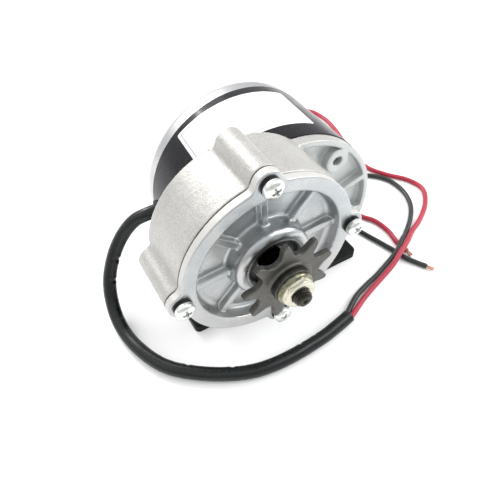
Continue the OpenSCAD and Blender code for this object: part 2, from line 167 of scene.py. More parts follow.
def net(name, f, lo, hi, h, marks=1.6):
    """A closed quad mesh of f(x, y, z) = 0 by surface nets, pulled onto the surface. Stores how open and how sharp each place is."""
    lo, hi = np.array(lo, float), np.array(hi, float)
    n = np.ceil((hi - lo) / h).astype(int) + 1
    ax = [lo[i] + h * np.arange(n[i]) + 0.0137 * h for i in range(3)]
    X, Y, Z = ax[0][:, None, None], ax[1][None, :, None], ax[2][None, None, :]
    V = np.asarray(np.broadcast_to(f(X, Y, Z), n), np.float32).copy()
    V[0], V[-1] = np.maximum(V[0], 0.01), np.maximum(V[-1], 0.01)
    V[:, 0], V[:, -1] = np.maximum(V[:, 0], 0.01), np.maximum(V[:, -1], 0.01)
    V[:, :, 0], V[:, :, -1] = np.maximum(V[:, :, 0], 0.01), np.maximum(V[:, :, -1], 0.01)
    ins = V < 0
    c = np.zeros(n - 1, np.int8)
    for i in (0, 1):
        for j in (0, 1):
            for k in (0, 1):
                c += ins[i:n[0] - 1 + i, j:n[1] - 1 + j, k:n[2] - 1 + k]
    act = (c > 0) & (c < 8)
    idx = np.full(act.shape, -1, np.int64)
    cells = np.argwhere(act)
    idx[act] = np.arange(len(cells))
    pos = np.zeros((len(cells), 3)); cnt = np.zeros(len(cells))
    for axis in range(3):
        o1, o2 = [a for a in range(3) if a != axis]
        for s in (0, 1):
            for t in (0, 1):
                off = np.zeros(3, int); off[o1], off[o2] = s, t
                p = cells + off; p2 = p.copy(); p2[:, axis] += 1
                a = V[p[:, 0], p[:, 1], p[:, 2]].astype(float); b = V[p2[:, 0], p2[:, 1], p2[:, 2]].astype(float)
                m = (a < 0) != (b < 0)
                w = np.where(m, a / np.where(m, a - b, 1), 0)
                q_ = off[None, :].astype(float).repeat(len(cells), 0); q_[:, axis] += w
                pos[m] += q_[m]; cnt[m] += 1
    pos = (cells + pos / cnt[:, None]) * h + lo + 0.0137 * h
    quads = []
    for axis in range(3):
        o1, o2 = [(1, 2), (2, 0), (0, 1)][axis]
        sl_a = [slice(None)] * 3; sl_b = [slice(None)] * 3
        sl_a[axis] = slice(0, -1); sl_b[axis] = slice(1, None)
        A, B = ins[tuple(sl_a)], ins[tuple(sl_b)]
        e = np.argwhere(A != B)
        flip = A[e[:, 0], e[:, 1], e[:, 2]]
        ok = (e[:, o1] > 0) & (e[:, o2] > 0) & (e[:, o1] < n[o1] - 1) & (e[:, o2] < n[o2] - 1)
        e, flip = e[ok], flip[ok]
        def g(d1, d2):
            p = e.copy(); p[:, o1] += d1; p[:, o2] += d2
            return idx[p[:, 0], p[:, 1], p[:, 2]]
        qd = np.stack([g(-1, -1), g(0, -1), g(0, 0), g(-1, 0)], 1)
        qd[~flip] = qd[~flip][:, ::-1]
        quads.append(qd)
    quads = np.concatenate(quads)

    def grad(p, d):
        x, y, z = p[:, 0], p[:, 1], p[:, 2]
        g_ = np.stack([f(x + d, y, z) - f(x - d, y, z), f(x, y + d, z) - f(x, y - d, z), f(x, y, z + d) - f(x, y, z - d)], 1)
        return g_ / (2 * d)
    for _ in range(2):
        v = f(pos[:, 0], pos[:, 1], pos[:, 2])
        g_ = grad(pos, h * 0.15)
        l2 = np.maximum((g_ ** 2).sum(1), 0.25)
        step = -(v / l2)[:, None] * g_
        l = np.linalg.norm(step, axis=1, keepdims=True)
        step *= np.minimum(1, 0.55 * h / np.maximum(l, 1e-9))
        pos += step
    me = mesh_from(name, pos, quads)
    # how open (1) or sunken (0) each place is, and how sharp an outer edge it is on (1)
    g_ = grad(pos, h * 0.3)
    nr = g_ / np.maximum(np.linalg.norm(g_, axis=1, keepdims=True), 1e-9)
    q1, q2 = pos + nr * marks, pos - nr * marks * 0.5
    q3 = pos + nr * marks * 3
    op = np.clip(f(q1[:, 0], q1[:, 1], q1[:, 2]) / marks, 0, 1)
    op = 0.5 * op + 0.5 * np.clip(f(q3[:, 0], q3[:, 1], q3[:, 2]) / (marks * 3), 0, 1)
    sh = 1 - np.clip(-f(q2[:, 0], q2[:, 1], q2[:, 2]) / (marks * 0.5), 0, 1)
    for key, val in (("open", op), ("sharp", sh)):
        at = me.attributes.new(key, "FLOAT", "POINT")
        at.data.foreach_set("value", np.ascontiguousarray(val, np.float32))
    return link(name, me)


def lathe(name, prof, seg=160, center=(0.0, 0.0), closed=True):
    """Spins a (radius, y) profile about a Y axis through center (x, z)."""
    prof = np.asarray(prof, float)
    t = np.linspace(0, 2 * np.pi, seg, endpoint=False)
    v = np.stack([center[0] + prof[:, 0][:, None] * np.cos(t), np.repeat(prof[:, 1][:, None], seg, 1),
                  center[1] + prof[:, 0][:, None] * np.sin(t)], 2).reshape(-1, 3)
    n = len(prof)
    rows = range(n if closed else n - 1)
    faces = [(i * seg + j, i * seg + (j + 1) % seg, ((i + 1) % n) * seg + (j + 1) % seg, ((i + 1) % n) * seg + j)
             for i in rows for j in range(seg)]
    me = mesh_from(name, v, np.array(faces))
    bm = bmesh.new(); bm.from_mesh(me); bmesh.ops.recalc_face_normals(bm, faces=bm.faces); bm.to_mesh(me); bm.free()
    return link(name, me)


def rounded(prof, r=0.3, k=4):
    """Rounds the corners of a closed (radius, y) profile."""
    P = [np.array(p, float) for p in prof]
    out = []
    for i, p in enumerate(P):
        a, b = P[i - 1], P[(i + 1) % len(P)]
        la, lb = np.linalg.norm(a - p), np.linalg.norm(b - p)
        rr = min(r, la * 0.45, lb * 0.45)
        p0, p1 = p + (a - p) / la * rr, p + (b - p) / lb * rr
        for j in range(k + 1):
            t = j / k
            out.append((1 - t) ** 2 * p0 + 2 * t * (1 - t) * p + t * t * p1)
    return out


def catmull(P, n):
    P = np.asarray(P, float); m = len(P) - 1; out = []
    for i in range(m):
        p0, p1, p2, p3 = P[max(i - 1, 0)], P[i], P[i + 1], P[min(i + 2, m)]
        for k in range(n):
            t = k / n
            out.append(0.5 * (2 * p1 + (p2 - p0) * t + (2 * p0 - 5 * p1 + 4 * p2 - p3) * t * t + (3 * p1 - p0 - 3 * p2 + p3) * t ** 3))
    out.append(P[m])
    return np.array(out)


def resample(R, step):
    s = np.concatenate([[0], np.cumsum(np.linalg.norm(np.diff(R, axis=0), axis=1))])
    n = max(2, int(round(s[-1] / step)) + 1)
    t = np.linspace(0, s[-1], n)
    return np.stack([np.interp(t, s, R[:, i]) for i in range(3)], 1), t


def frames(R):
    T = np.gradient(R, axis=0); T /= np.linalg.norm(T, axis=1, keepdims=True)
    u = np.cross([0, 0, 1.0], T[0])
    u = np.array([1.0, 0, 0]) if np.linalg.norm(u) < 1e-6 else u / np.linalg.norm(u)
    U = []
    for t in T:
        u = u - t * (u @ t); u /= np.linalg.norm(u); U.append(u)
    U = np.array(U)
    return T, U, np.cross(T, U)


def sweep(name, R, rad, sides=20, inner=None, depth=0.0):
    """A tube along R. rad(s, angle) gives its radius. With inner, its far end is open: a wall that goes back in by depth."""
    s = np.concatenate([[0], np.cumsum(np.linalg.norm(np.diff(R, axis=0), axis=1))])
    T, U, V = frames(R)
    th = np.linspace(0, 2 * np.pi, sides, endpoint=False)
    rr = np.array([[rad(si, a) for a in th] for si in s])
    ring = R[:, None, :] + rr[:, :, None] * (np.cos(th)[None, :, None] * U[:, None, :] + np.sin(th)[None, :, None] * V[:, None, :])
    rings = [ring[i] for i in range(len(R))]
    if inner is not None:
        e = R[-1]
        for rf, back in ((0.5 * (rad(s[-1], 0) + inner) + 0.12, -0.10), (0.5 * (rad(s[-1], 0) + inner) - 0.12, -0.10), (inner, 0.06), (inner, depth * 0.5), (inner, depth)):
            c_ = e - T[-1] * back
            rings.append(c_[None] + rf * (np.cos(th)[:, None] * U[-1] + np.sin(th)[:, None] * V[-1]))
    v = np.concatenate(rings)
    v[:, 2] = np.maximum(v[:, 2], 0.04)
    n = len(rings)
    i, j = np.meshgrid(np.arange(n - 1), np.arange(sides), indexing="ij")
    i, j = i.ravel(), j.ravel()
    f = [tuple(x) for x in np.stack([i * sides + j, (i + 1) * sides + j, (i + 1) * sides + (j + 1) % sides, i * sides + (j + 1) % sides], 1)]
    f.append(tuple(range(sides))); f.append(tuple((n - 1) * sides + k for k in reversed(range(sides))))
    me = mesh_from(name, v, f)
    bm = bmesh.new(); bm.from_mesh(me); bmesh.ops.recalc_face_normals(bm, faces=bm.faces); bm.to_mesh(me); bm.free()
    me.polygons.foreach_set("use_smooth", [True] * len(me.polygons))
    return link(name, me)


# ------------------------------------------------------------------ material helpers
class Mat:
    def __init__(self, name, base=(0.5, 0.5, 0.5), metallic=0.0, rough=0.5):
        self.m = bpy.data.materials.new(name)
        self.m.use_nodes = True
        self.nt = self.m.node_tree
        self.p = self.nt.nodes["Principled BSDF"]
        self.set("Base Color", (*base, 1)); self.set("Metallic", metallic); self.set("Roughness", rough)
        tc = self.nt.nodes.new("ShaderNodeTexCoord")
        self.co = tc.outputs["Object"]

    def set(self, key, v):
        if hasattr(v, "is_linked") or isinstance(v, bpy.types.NodeSocket):
            self.nt.links.new(v, self.p.inputs[key])
        else:
            self.p.inputs[key].default_value = v
        return self

    def node(self, kind, ins=None, **attrs):
        n = self.nt.nodes.new(kind)
        for k, v in attrs.items():
            setattr(n, k, v)
        for k, v in (ins or {}).items():
            if isinstance(v, bpy.types.NodeSocket):
                self.nt.links.new(v, n.inputs[k])
            else:
                n.inputs[k].default_value = v
        return n

    def noise(self, scale, detail=3.0, rough=0.55, vec=None, dist=0.0):
        return self.node("ShaderNodeTexNoise", {"Vector": vec or self.co, "Scale": scale, "Detail": detail, "Roughness": rough, "Distortion": dist}).outputs["Fac"]

    def cells(self, scale, vec=None, feature="F1"):
        return self.node("ShaderNodeTexVoronoi", {"Vector": vec or self.co, "Scale": scale}, feature=feature).outputs["Distance"]

    def stretch(self, sx, sy, sz, vec=None):
        return self.node("ShaderNodeMapping", {"Vector": vec or self.co, "Scale": (sx, sy, sz)}).outputs["Vector"]

    def math(self, op, a, b=0.0, clamp=False):
        n = self.node("ShaderNodeMath", operation=op, use_clamp=clamp)
        for i, v in enumerate((a, b)):
            if isinstance(v, bpy.types.NodeSocket):
                self.nt.links.new(v, n.inputs[i])
            else:
                n.inputs[i].default_value = v
        return n.outputs[0]

    def span(self, fac, a, b, lo=0.0, hi=1.0, smooth=False):
        """fac from a..b to lo..hi, clamped."""
        n = self.node("ShaderNodeMapRange", {"Value": fac, "From Min": a, "From Max": b, "To Min": lo, "To Max": hi}, clamp=True,
                      interpolation_type="SMOOTHSTEP" if smooth else "LINEAR")
        return n.outputs["Result"]

    def mix(self, fac, a, b, kind="MIX"):
        n = self.node("ShaderNodeMix", data_type="RGBA", blend_type=kind)
        for sock, v in ((n.inputs[0], fac), (n.inputs[6], a), (n.inputs[7], b)):
            if isinstance(v, bpy.types.NodeSocket):
                self.nt.links.new(v, sock)
            elif sock == n.inputs[0]:
                sock.default_value = v
            else:
                sock.default_value = (*v, 1)
        return n.outputs[2]

    def attr(self, name):
        return self.node("ShaderNodeAttribute", attribute_name=name).outputs["Fac"]

    def xyz(self, vec=None):
        n = self.node("ShaderNodeSeparateXYZ", {"Vector": vec or self.co})
        return n.outputs[0], n.outputs[1], n.outputs[2]

    def bump(self, height, dist, strength=1.0):
        """Adds a bump of that height, in mm, on top of those set before."""
        b = self.node("ShaderNodeBump", {"Height": height, "Distance": dist * MM, "Strength": strength})
        old = self.p.inputs["Normal"]
        if old.is_linked:
            self.nt.links.new(old.links[0].from_socket, b.inputs["Normal"])
        self.nt.links.new(b.outputs["Normal"], old)
        return self


def paint(ob, mat):
    ob.data.materials.clear()
    ob.data.materials.append(mat.m)
    return ob


# ------------------------------------------------------------------ materials
def cast_metal(name, base, dark, rough, grain, speck=0.35, metallic=1.0, warm=None, wall=None, cool=None):
    """Die cast alloy: blasted grain, faint blotches, dark specks, painted shade in corners and hollows, edges lightened
    partly as rubbed wear and partly as a painted highlight.
    """
    M = Mat(name, base, metallic, rough)
    blotch = M.span(M.noise(55, 4, 0.6), 0.32, 0.68)
    col = M.mix(blotch, tuple(c * 0.90 for c in base), tuple(min(1, c * 1.05) for c in base))
    fine = M.span(M.noise(2100, 3, 0.75), 0.38, 0.64)
    col = M.mix(M.math("MULTIPLY", fine, min(0.8, 0.38 * grain)), col, tuple(c * 0.60 for c in base))
    coarse = M.span(M.noise(1050, 2, 0.6), 0.46, 0.60)
    col = M.mix(M.math("MULTIPLY", coarse, 0.13 * grain), col, tuple(c * 0.62 for c in base))
    spot = M.span(M.noise(1900, 3, 0.8), 0.66, 0.78)
    col = M.mix(M.math("MULTIPLY", spot, speck), col, dark)
    if warm is not None:
        col = M.mix(M.math("MULTIPLY", M.span(M.noise(28, 3, 0.6), 0.45, 0.72), 0.6), col, warm)
    # painted shade: hollows and corners, found from the 'open' attribute, are darkened and made rougher
    hollow_shade_mask = M.span(M.attr("open"), 0.35, 0.95, 1.0, 0.0, True)
    col = M.mix(M.math("MULTIPLY", hollow_shade_mask, 0.22 if grain > 1.5 else 0.06), col, dark)
    # edges lightened: partly rubbed wear, partly a painted highlight
    edge = M.span(M.attr("sharp"), 0.25, 0.75)
    edge_wear_and_highlight = M.math("MULTIPLY", edge, M.span(M.noise(300, 3, 0.6), 0.35, 0.6))
    col = M.mix(M.math("MULTIPLY", edge_wear_and_highlight, 0.6), col, tuple(min(1, c * 1.15) for c in base))
    M.set("Base Color", col)
    ro = M.math("ADD", M.span(M.noise(240, 4, 0.6), 0.3, 0.7, rough - 0.07, rough + 0.09), M.math("MULTIPLY", edge_wear_and_highlight, -0.08))
    M.set("Roughness", M.math("ADD", ro, M.math("MULTIPLY", hollow_shade_mask, 0.12), True))
    M.bump(M.noise(900, 3, 0.65), 0.055 * grain)
    M.bump(M.noise(220, 3, 0.6), 0.14 * grain)
    M.bump(M.noise(60, 2, 0.5), 0.25 * grain)
    # painted light: the flange's front face, turned away from the light, is given a colder tint than the lit sides
    if cool is not None:
        # the flange's front was wiped cleaner and looks colder
        x_, y_, z_ = M.xyz()
        zc = M.math("SUBTRACT", z_, MZ * MM)
        ra = M.math("SQRT", M.math("ADD", M.math("MULTIPLY", x_, x_), M.math("MULTIPLY", zc, zc)))
        front = M.math("MULTIPLY", M.span(y_, -0.0288, -0.0276), M.span(ra, 0.0500, 0.0506, 1.0, 0.0, True))
        M.set("Base Color", M.mix(front, col, M.mix(M.math("MULTIPLY", fine, 0.3), cool, tuple(c * 0.66 for c in cool))))
    if wall is not None:
        # painted light: the outer wall, which faces the light, is painted paler and warmer than the front; it is also
        # duller and less metallic
        x_, y_, z_ = M.xyz()
        dx, dz = M.math("SUBTRACT", x_, OX * MM), M.math("SUBTRACT", z_, OZ * MM)
        rr = M.math("SQRT", M.math("ADD", M.math("MULTIPLY", dx, dx), M.math("MULTIPLY", dz, dz)))
        # painted shadow and reflection of the sprocket: inside the hub's bead the face is painted near black, unevenly
        painted_hub_shadow = M.math("MULTIPLY", M.span(rr, 0.0127, 0.0140, 1.0, 0.0, True), M.span(M.noise(120, 3), 0.2, 0.6, 0.82, 1.0))
        col = M.mix(painted_hub_shadow, col, (0.03, 0.032, 0.028))
        M.set("Base Color", col)
        k = M.math("MULTIPLY", M.span(y_, -0.05490, -0.05430), M.span(rr, 0.0375, 0.0385))
        M.set("Base Color", M.mix(k, col, M.mix(M.math("MULTIPLY", fine, 0.3), wall, tuple(c * 0.7 for c in wall))))
        M.set("Roughness", M.math("ADD", M.p.inputs["Roughness"].links[0].from_socket, M.math("MULTIPLY", k, 0.2), True))
        M.set("Metallic", M.span(k, 0.0, 1.0, metallic, 0.5))
    return M


mats = {}
mats["case"] = cast_metal("case_alloy", (0.575, 0.565, 0.54), (0.17, 0.16, 0.15), 0.46, 2.0, 0.60, 0.6, None, None, (0.575, 0.595, 0.59))
mats["cover"] = cast_metal("cover_alloy", (0.50, 0.525, 0.535), (0.15, 0.14, 0.13), 0.31, 0.9, 0.12, 0.97, (0.56, 0.53, 0.50), (0.61, 0.595, 0.57))


def plated(name, base, rough=0.28, tint=None, dirt=0.3, hollow_shade_amount=0.75, edge_wear_and_highlight=0.0):
    """Plated or bare steel hardware: fine turned streaks, soft stains, painted shade in hollows, edges lightened partly
    as scuffed wear and partly as a painted highlight.
    """
    M = Mat(name, base, 1.0, rough)
    st = M.span(M.noise(420, 4, 0.65), 0.35, 0.68)
    col = M.mix(st, tuple(c * 0.82 for c in base), base)
    if tint is not None:
        col = M.mix(M.span(M.noise(190, 3, 0.6), 0.38, 0.62), col, tint)
    # painted shade: hollows, found from the 'open' attribute, are darkened; meshes without that attribute are darkened
    # all over
    hollow_shade_mask = M.span(M.attr("open"), 0.30, 0.95, 1.0, 0.0, True)
    col = M.mix(M.math("MULTIPLY", hollow_shade_mask, hollow_shade_amount), col, (0.06, 0.055, 0.05))
    spot = M.span(M.noise(1400, 2, 0.5), 0.60, 0.68)
    col = M.mix(M.math("MULTIPLY", spot, dirt), col, (0.12, 0.11, 0.10))
    if edge_wear_and_highlight:
        # painted highlight with some rubbed wear: sharp edges are lightened, unevenly
        edge = M.math("MULTIPLY", M.span(M.attr("sharp"), 0.35, 0.85), M.span(M.noise(350, 3, 0.6), 0.30, 0.55, 0.35, 1.0))
        col = M.mix(M.math("MULTIPLY", edge, edge_wear_and_highlight), col, (0.52, 0.51, 0.47))
    M.set("Base Color", col)
    M.set("Roughness", M.span(M.noise(800, 4, 0.7), 0.3, 0.7, rough - 0.08, rough + 0.12))
    M.bump(M.noise(2200, 2, 0.6), 0.012)
    M.bump(M.noise(350, 3, 0.6), 0.05)
    return M


mats["zinc"] = plated("zinc_plate", (0.84, 0.87, 0.86), 0.30, (0.78, 0.80, 0.76), 0.2, 0.35)
mats["nut"] = plated("nut_plate", (0.74, 0.73, 0.63), 0.27, (0.66, 0.63, 0.48))
# the flange's outer part is painted darker and olive, unevenly
M = mats["nut"]
x_, y_, z_ = M.xyz()
dx, dz = M.math("SUBTRACT", x_, OX * MM), M.math("SUBTRACT", z_, OZ * MM)
rn = M.math("SQRT", M.math("ADD", M.math("MULTIPLY", dx, dx), M.math("MULTIPLY", dz, dz)))
flange_darkening = M.math("MULTIPLY", M.span(rn, 0.0064, 0.0072), M.span(y_, -0.0749, -0.0742))
flange_darkening = M.math("MULTIPLY", flange_darkening, M.span(M.noise(260, 3, 0.6), 0.25, 0.65, 0.55, 1.0))
M.set("Base Color", M.mix(flange_darkening, M.p.inputs["Base Color"].links[0].from_socket, (0.13, 0.13, 0.08)))
mats["black_ox"] = plated("black_oxide", (0.045, 0.045, 0.043), 0.40, None, 0.1)
# the washer mesh has no 'open' attribute, so its whole face takes the painted hollow shade
mats["washer"] = plated("washer_steel", (0.11, 0.11, 0.10), 0.34, None, 0.1, 0.2)
# the sprocket's sharp edges get the painted highlight with some rubbed wear
mats["sprocket"] = plated("sprocket_steel", (0.140, 0.140, 0.131), 0.38, (0.105, 0.100, 0.090), 0.35, edge_wear_and_highlight=0.6)
mats["bolt"] = plated("bolt_steel", (0.42, 0.41, 0.38), 0.38, (0.36, 0.33, 0.28))
mats["shaft"] = plated("dark_steel", (0.022, 0.024, 0.020), 0.20, (0.05, 0.042, 0.03), 0.2)
mats["ground"] = plated("ground_steel", (0.55, 0.55, 0.56), 0.25)
mats["gear"] = plated("gear_steel", (0.50, 0.50, 0.50), 0.32)


def painted(name, base, rough, peel=1.0, coat=0.0, dust=0.03):
    """Sprayed paint with orange peel and faint dust."""
    M = Mat(name, base, 0.0, rough)
    blot = M.span(M.noise(40, 4, 0.6), 0.3, 0.7)
    col = M.mix(blot, tuple(c * 0.85 for c in base), tuple(c * 1.15 for c in base))
    col = M.mix(M.math("MULTIPLY", M.span(M.noise(1800, 2, 0.6), 0.60, 0.72), dust * 6), col, (0.30, 0.30, 0.30))
    M.set("Base Color", col)
    M.set("Roughness", M.span(M.noise(120, 4, 0.6), 0.3, 0.7, rough - 0.05, rough + 0.06))
    M.bump(M.noise(700, 2, 0.5), 0.018 * peel)
    M.bump(M.noise(150, 2, 0.5), 0.05 * peel)
    M.set("Coat Weight", coat)
    M.set("Coat Roughness", 0.12)
    return M


mats["can"] = painted("can_paint", (0.009, 0.009, 0.012), 0.30, 0.8, 0.14)
mats["can"].set("Specular IOR Level", 0.10)
mats["foot"] = painted("foot_paint", (0.008, 0.010, 0.010), 0.45, 1.6, 0.0)
mats["foot"].set("Specular IOR Level", 0.08)


def plastic(name, base, rough, grain=1.0, spec=0.5):
    M = Mat(name, base, 0.0, rough)
    blot = M.span(M.noise(90, 3, 0.6), 0.3, 0.7)
    col = M.mix(blot, tuple(c * 0.82 for c in base), tuple(c * 1.12 for c in base))
    M.set("Base Color", col)
    M.set("Specular IOR Level", spec)
    M.set("Roughness", M.span(M.noise(350, 4, 0.6), 0.3, 0.7, rough - 0.07, rough + 0.1))
    M.bump(M.noise(1500, 2, 0.6), 0.012 * grain)
    M.bump(M.noise(200, 3, 0.6), 0.06 * grain)
    return M


mats["sleeve"] = plastic("sleeve_pvc", (0.008, 0.0105, 0.0105), 0.28, 1.2, 0.36)
mats["red"] = plastic("red_pvc", (0.40, 0.018, 0.045), 0.36, 0.8)
mats["black"] = plastic("black_pvc", (0.013, 0.018, 0.018), 0.34, 0.8)
mats["grommet"] = plastic("grommet_rubber", (0.018, 0.018, 0.018), 0.6, 1.5)
mats["gasket"] = plastic("gasket_fibre", (0.05, 0.045, 0.04), 0.8, 1.5)
M = mats["gasket"]
M.set("Base Color", M.mix(M.math("MULTIPLY", M.span(M.xyz()[0], -0.030, -0.012), M.span(M.noise(60, 3), 0.2, 0.5, 0.7, 1.0)), (0.05, 0.045, 0.04), (0.42, 0.41, 0.385)))
mats["seal"] = plastic("bearing_seal", (0.050, 0.038, 0.028), 0.45, 1.0)
mats["phenolic"] = plastic("phenolic", (0.30, 0.12, 0.05), 0.5)
mats["fibre"] = plastic("red_fibre", (0.42, 0.08, 0.05), 0.6)
mats["carbon"] = plastic("carbon", (0.03, 0.03, 0.03), 0.5)
mats["ferrite"] = plastic("ferrite", (0.06, 0.06, 0.065), 0.6, 2.0)


def copper(name, base=(0.80, 0.42, 0.26), rough=0.3):
    M = Mat(name, base, 1.0, rough)
    col = M.mix(M.span(M.noise(500, 3, 0.6), 0.35, 0.65), tuple(c * 0.7 for c in base), base)
    M.set("Base Color", col)
    M.set("Roughness", M.span(M.noise(900, 3, 0.6), 0.3, 0.7, rough - 0.1, rough + 0.1))
    M.bump(M.noise(1500, 2, 0.6), 0.02)
    return M


mats["copper"] = copper("copper")
mats["strand"] = copper("copper_strand", (0.86, 0.50, 0.38), 0.28)
mats["brass"] = copper("brass", (0.78, 0.60, 0.28), 0.32)

# cores: thin laminations across Y
M = Mat("core_steel", (0.38, 0.38, 0.40), 1.0, 0.4)
lam = M.node("ShaderNodeTexWave", {"Vector": M.co, "Scale": 320.0, "Distortion": 0.4}, wave_type="BANDS", bands_direction="Y").outputs["Fac"]
M.set("Base Color", M.mix(lam, (0.22, 0.22, 0.23), (0.42, 0.42, 0.44)))
M.set("Roughness", M.span(M.noise(400, 3), 0.3, 0.7, 0.3, 0.5)); M.bump(lam, 0.05)
mats["core"] = M

# rear cap: satin turned alloy, circular marks round the motor axis
M = Mat("cap_alloy", (0.60, 0.60, 0.605), 1.0, 0.32)
x_, y_, z_ = M.xyz()
rr_ = M.math("SQRT", M.math("ADD", M.math("MULTIPLY", x_, x_), M.math("POWER", M.math("SUBTRACT", z_, MZ * MM), 2.0)))
vec = M.node("ShaderNodeCombineXYZ", {"X": rr_, "Y": y_, "Z": 0.0}).outputs[0]
turn = M.noise(2600, 3, 0.7, vec)
col = M.mix(M.span(turn, 0.3, 0.7), (0.45, 0.45, 0.46), (0.60, 0.60, 0.60))
col = M.mix(M.math("MULTIPLY", M.span(M.noise(70, 4), 0.5, 0.7), 0.5), col, (0.38, 0.38, 0.385))
M.set("Base Color", col)
M.set("Roughness", M.span(M.noise(200, 4), 0.3, 0.7, 0.28, 0.40)); M.bump(turn, 0.012); M.bump(M.noise(120, 3), 0.05)
mats["cap"] = M

# bright turned can sticker: bare white sheet with one thin border line
M = Mat("label_sheet", (0.86, 0.86, 0.85), 0.0, 0.35)
x_, y_, z_ = M.xyz()
ang = M.math("ARCTAN2", M.math("SUBTRACT", z_, MZ * MM), x_)
LBL_TILT, LBL_A = math.radians(3.3), 97.5
s_ = M.math("SUBTRACT", M.math("MULTIPLY", ang, 51.0), math.radians(LBL_A) * 51)
w_ = M.math("SUBTRACT", M.math("MULTIPLY", y_, 1000.0), 5.3)
ct, st = math.cos(LBL_TILT), math.sin(LBL_TILT)
s_, w_ = (M.math("ADD", M.math("MULTIPLY", s_, ct), M.math("MULTIPLY", w_, st)), M.math("SUBTRACT", M.math("MULTIPLY", w_, ct), M.math("MULTIPLY", s_, st)))
arc = M.math("SUBTRACT", M.math("ABSOLUTE", s_), math.radians(34.65) * 51 - 1.9)
lon = M.math("SUBTRACT", M.math("ABSOLUTE", w_), 16 - 1.9)
edge = M.math("ABSOLUTE", M.math("MAXIMUM", arc, lon))
line = M.span(M.math("ADD", edge, M.math("MULTIPLY", M.math("SUBTRACT", M.noise(900, 2), 0.5), 0.12)), 0.20, 0.32, 1.0, 0.0)
paper = M.mix(M.span(M.noise(60, 3), 0.3, 0.7), (0.74, 0.75, 0.745), (0.80, 0.81, 0.805))
M.set("Base Color", M.mix(M.math("MULTIPLY", line, 0.75), paper, (0.16, 0.16, 0.17)))
M.set("Roughness", M.span(M.noise(150, 3), 0.3, 0.7, 0.28, 0.42)); M.bump(M.noise(260, 3, 0.5), 0.02)
M.set("Coat Weight", 0.25); M.set("Coat Roughness", 0.2)
mats["label"] = M

# ------------------------------------------------------------------ shapes shared by the castings
A_, O_ = (0.0, MZ), (OX, OZ)
SCREWS = [polar(PCR, PA - a, O_) for a in (0, 93.3, 174.9, 267.4)]
BOLTS = [polar(41.5, a, A_) for a in (50, 230)]


def outline(x, z, k=3.2):
    d = radial(x, z, *O_) - 42.3
    for s in SCREWS:
        d = smin(d, radial(x, z, *s) - 6.2, k)
    return d


def pocket(x, z, a0, a1):
    """A sector between radius 25 and 47.7 round the motor axis."""
    r = radial(x, z, *A_)
    m, h = math.radians((a0 + a1) / 2), math.radians((a1 - a0) / 2)
    u = x * math.cos(m) + (z - MZ) * math.sin(m)
    v = np.abs(-x * math.sin(m) + (z - MZ) * math.cos(m))
    side = v * math.cos(h) - u * math.sin(h)
    return smax(smax(r - 47.7, 25 - r, 1.0), side, 1.6)


def case_sdf(x, y, z):
    rA, rO = radial(x, z, *A_), radial(x, z, *O_)
    fl = rcyl(rA - 50.6, y, -27.5, -15, 0.8)
    pk = None
    for s in ((18.7, 86), (-9, 14.9), (-34, -13), (-72, -38), (-166, -86)):
        p = pocket(x, z, *s)
        pk = p if pk is None else np.minimum(pk, p)
    fl = smax(fl, -smax(pk, y + 23.0, 1.0), 0.6)
    for b in BOLTS:
        fl = smin(fl, rmax(radial(x, z, *b) - 6.5, -27.4 - y, 0.5), 0.8)
    o2 = outline(x, z) - 0.3 * np.clip((y + 51) / 29.5, 0, 1)
    dr = rmax(o2, -50.6 - y, 0.25)
    body = smin(fl, dr, 0.9)
    body = rmax(body, y + 21.5, 0.3)
    # the screw bosses stop short of the can
    for s in SCREWS[:1] + SCREWS[3:]:
        body = smax(body, -np.maximum(np.maximum(radial(x, z, *s) - 8.5, -(y + 23.0)), 51.2 - rA), 0.4)
    body = np.minimum(body, np.maximum(np.abs(rA - 45.575) - 1.975, slab(y, -22.5, -19.5)))
    body = np.minimum(body, np.maximum(rA - 16.5, slab(y, -22.5, -17.5)))
    cav = np.maximum(rO - 38.5, y + 27)
    cav = np.maximum(cav, -np.maximum(rO - 17, -31 - y))
    cav = np.minimum(cav, np.maximum(rO - 14, slab(y, -32, -23)))
    cav = np.minimum(cav, np.maximum(rA - 8.6, slab(y, -30, -20)))
    cav = np.minimum(cav, np.maximum(rA - 13, slab(y, -25.5, -17)))
    for b in BOLTS:
        cav = np.minimum(cav, np.maximum(radial(x, z, *b) - 2.6, slab(y, -29, -18)))
    for s in SCREWS:
        cav = np.minimum(cav, np.maximum(radial(x, z, *s) - 2.5, slab(y, -52, -33)))
    return np.maximum(body, -cav)


RIB = 93.0


